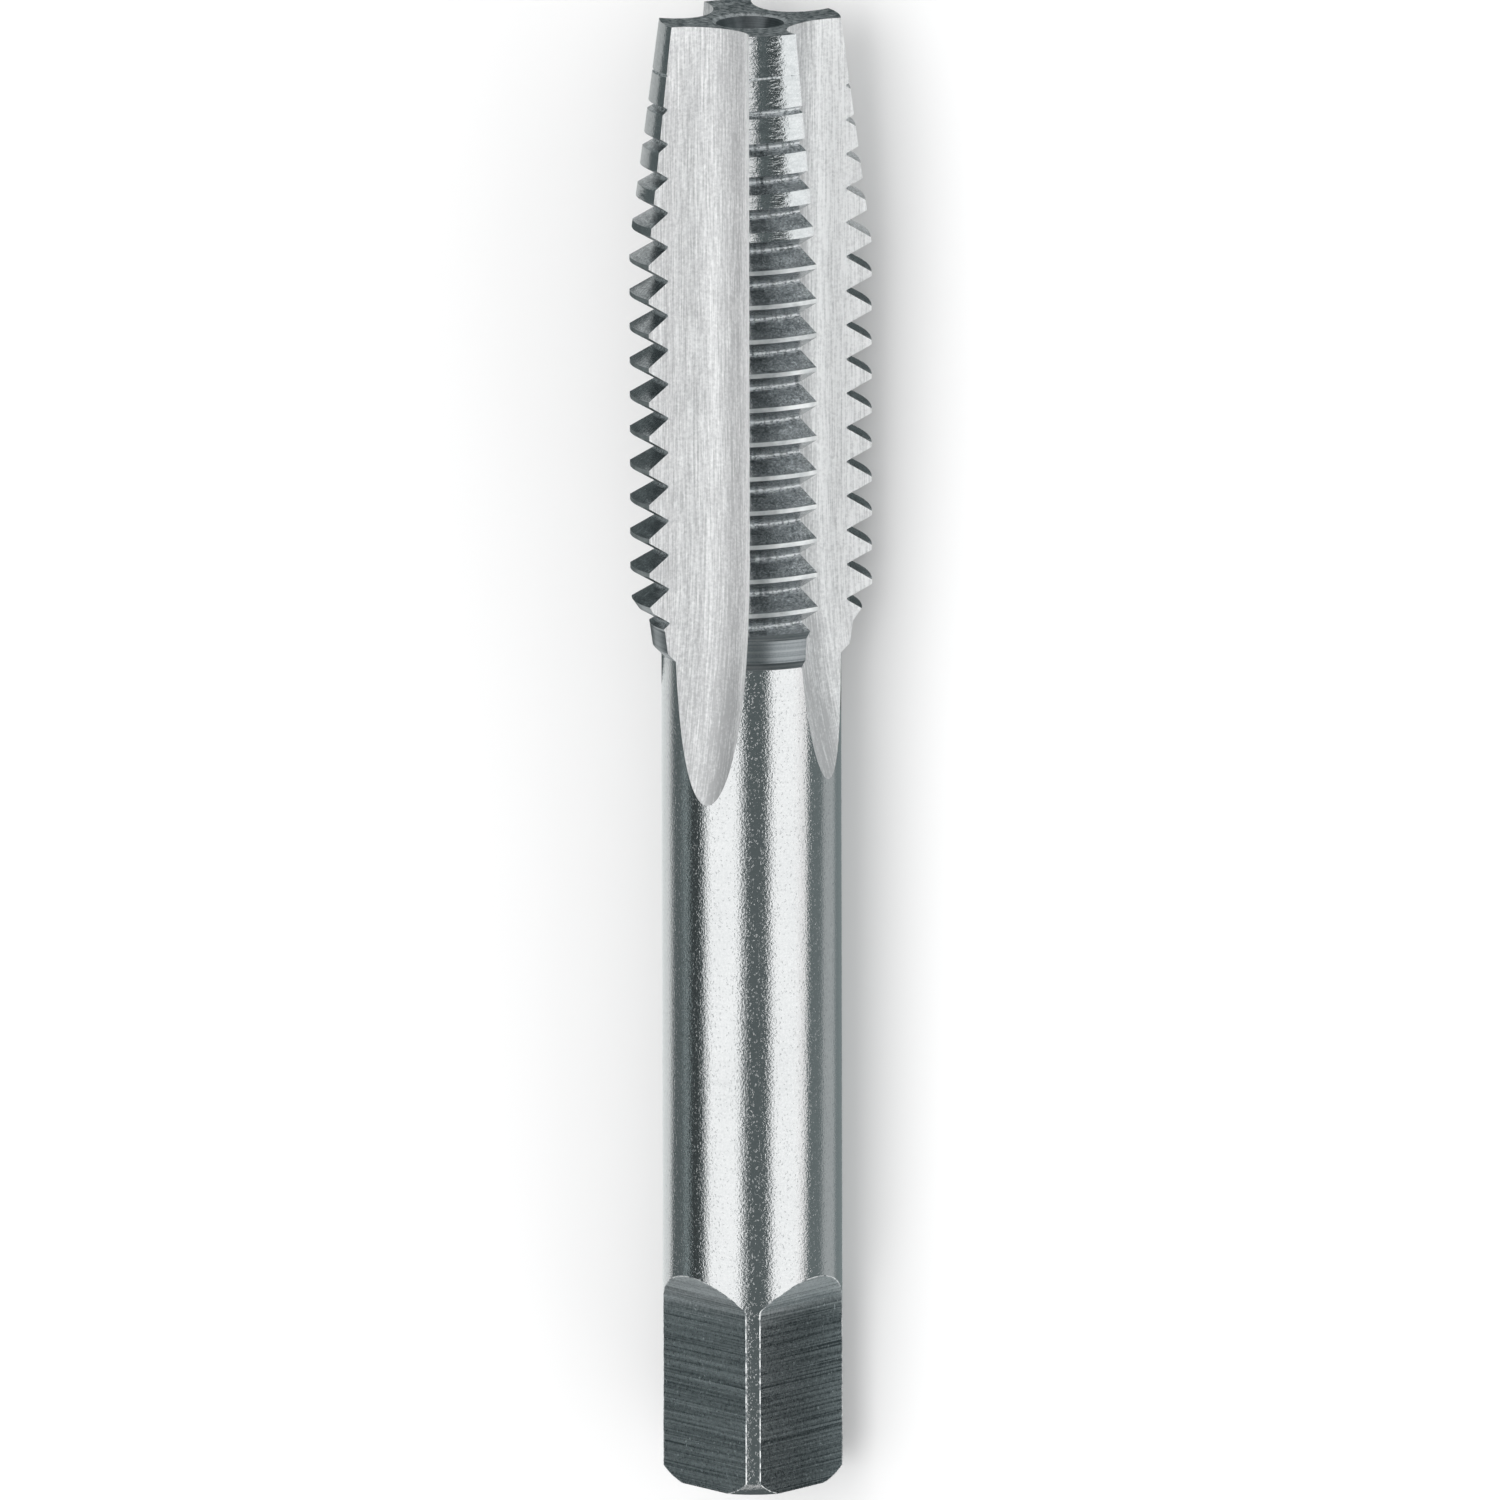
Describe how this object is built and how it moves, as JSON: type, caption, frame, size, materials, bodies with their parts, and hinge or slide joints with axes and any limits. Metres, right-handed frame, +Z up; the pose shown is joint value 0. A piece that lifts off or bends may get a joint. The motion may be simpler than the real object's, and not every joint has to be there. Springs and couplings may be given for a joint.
{
  "type": "thread tap",
  "caption": "Straight-fluted machine-ground hand tap: a taper lead into a helical cutting thread, deep flutes that run out on the shank, a round shank and a driving square.",
  "frame": {"origin": "on the surface the tap lies on, under the middle of its length", "axes": "+Z up from the surface; +Y along the tap towards its cutting tip, which is raised by 1.4 degrees at rest; +X to the right when the tip points away"},
  "size_m": [0.0108, 0.0752, 0.0111],
  "materials": {
    "ground_steel": "bright ground high-speed steel"
  },
  "bodies": {
    "root": {"thread_tap": "ground_steel"}
  },
  "joints": []
}
